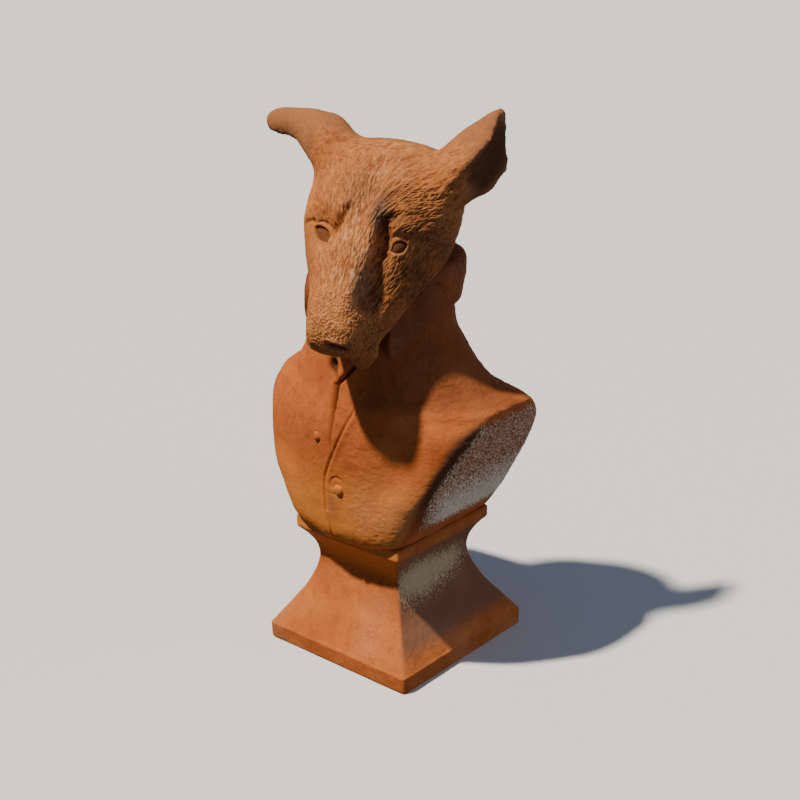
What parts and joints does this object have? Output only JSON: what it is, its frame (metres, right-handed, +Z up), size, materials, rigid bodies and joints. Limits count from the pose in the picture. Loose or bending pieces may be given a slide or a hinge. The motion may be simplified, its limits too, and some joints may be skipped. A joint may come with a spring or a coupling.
{
  "type": "cast iron dog bust",
  "caption": "Rusty cast iron garden bust of a dog in a buttoned coat with a turned-down collar, on a square waisted socle cast in one with it.",
  "frame": {"origin": "centre of the socle's underside, on the ground", "axes": "+Z up, the coat's front faces -Y, and +X is the figure's left side"},
  "size_m": [0.203, 0.1719, 0.4121],
  "materials": {
    "rusted_iron": "dull orange-brown rust all over, with pale bare patches where the arms are cut off and on the socle"
  },
  "bodies": {
    "root": {"dog_bust": "rusted_iron"}
  },
  "joints": []
}
